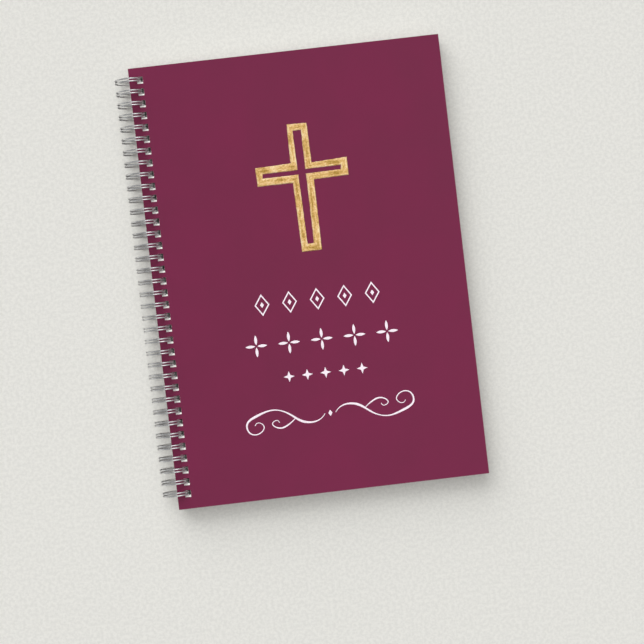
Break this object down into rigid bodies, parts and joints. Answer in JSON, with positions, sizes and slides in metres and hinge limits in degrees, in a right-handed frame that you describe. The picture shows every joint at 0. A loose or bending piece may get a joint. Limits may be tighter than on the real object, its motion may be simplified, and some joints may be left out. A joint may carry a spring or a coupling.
{
  "type": "prayer notebook",
  "caption": "Wire-bound prayer notebook: card covers with a foil cross and printed ornaments, ruled leaves in sections, all turning on a twin-loop wire.",
  "frame": {"origin": "middle of the bounding box in X and Y, at the lowest point of the wire in Z", "axes": "+X from the spine to the fore-edge, +Y from the foot of the page to its head, +Z out of the front cover"},
  "size_m": [0.1552, 0.21, 0.0133],
  "materials": {
    "cover_board": "matt white card core",
    "cover_film": "soft-touch burgundy laminate",
    "paper": "uncoated white paper",
    "wire": "bright plated steel wire",
    "foil": "gold foil with a streaked look",
    "print": "white print, faintly pink"
  },
  "bodies": {
    "back_cover": {"back_cover_board": "cover_board", "back_cover_film": "cover_film"},
    "binding": {"binding_wire": "wire"},
    "section_46_50": {"leaves_46_50": "paper"},
    "section_41_45": {"leaves_41_45": "paper"},
    "section_36_40": {"leaves_36_40": "paper"},
    "section_31_35": {"leaves_31_35": "paper"},
    "section_26_30": {"leaves_26_30": "paper"},
    "section_21_25": {"leaves_21_25": "paper"},
    "section_16_20": {"leaves_16_20": "paper"},
    "section_11_15": {"leaves_11_15": "paper"},
    "section_06_10": {"leaves_06_10": "paper"},
    "section_01_05": {"leaves_01_05": "paper"},
    "title_page": {"title_leaf": "paper"},
    "front_cover": {"front_cover_board": "cover_board", "front_cover_film": "cover_film", "cross_foil": "foil", "ornament_row_upper": "print", "ornament_row_middle": "print", "ornament_row_lower": "print", "signature_flourish": "print"}
  },
  "joints": [
    {"name": "binding_turn", "type": "hinge", "parent": "back_cover", "child": "binding", "pos_m": [-0.07089, 0, 0.00668], "axis": [0, -1, 0], "range_deg": [0, 180]},
    {"name": "leaves_46_50_turn", "type": "hinge", "parent": "binding", "child": "section_46_50", "pos_m": [-0.07089, 0, 0.00668], "axis": [0, -1, 0], "range_deg": [0, 180]},
    {"name": "leaves_41_45_turn", "type": "hinge", "parent": "section_46_50", "child": "section_41_45", "pos_m": [-0.07089, 0, 0.00668], "axis": [0, -1, 0], "range_deg": [0, 180]},
    {"name": "leaves_36_40_turn", "type": "hinge", "parent": "section_41_45", "child": "section_36_40", "pos_m": [-0.07089, 0, 0.00668], "axis": [0, -1, 0], "range_deg": [0, 180]},
    {"name": "leaves_31_35_turn", "type": "hinge", "parent": "section_36_40", "child": "section_31_35", "pos_m": [-0.07089, 0, 0.00668], "axis": [0, -1, 0], "range_deg": [0, 180]},
    {"name": "leaves_26_30_turn", "type": "hinge", "parent": "section_31_35", "child": "section_26_30", "pos_m": [-0.07089, 0, 0.00668], "axis": [0, -1, 0], "range_deg": [0, 180]},
    {"name": "leaves_21_25_turn", "type": "hinge", "parent": "section_26_30", "child": "section_21_25", "pos_m": [-0.07089, 0, 0.00668], "axis": [0, -1, 0], "range_deg": [0, 180]},
    {"name": "leaves_16_20_turn", "type": "hinge", "parent": "section_21_25", "child": "section_16_20", "pos_m": [-0.07089, 0, 0.00668], "axis": [0, -1, 0], "range_deg": [0, 180]},
    {"name": "leaves_11_15_turn", "type": "hinge", "parent": "section_16_20", "child": "section_11_15", "pos_m": [-0.07089, 0, 0.00668], "axis": [0, -1, 0], "range_deg": [0, 180]},
    {"name": "leaves_06_10_turn", "type": "hinge", "parent": "section_11_15", "child": "section_06_10", "pos_m": [-0.07089, 0, 0.00668], "axis": [0, -1, 0], "range_deg": [0, 180]},
    {"name": "leaves_01_05_turn", "type": "hinge", "parent": "section_06_10", "child": "section_01_05", "pos_m": [-0.07089, 0, 0.00668], "axis": [0, -1, 0], "range_deg": [0, 180]},
    {"name": "title_leaf_turn", "type": "hinge", "parent": "section_01_05", "child": "title_page", "pos_m": [-0.07089, 0, 0.00668], "axis": [0, -1, 0], "range_deg": [0, 180]},
    {"name": "front_cover_turn", "type": "hinge", "parent": "title_page", "child": "front_cover", "pos_m": [-0.07089, 0, 0.00668], "axis": [0, -1, 0], "range_deg": [0, 180]}
  ]
}
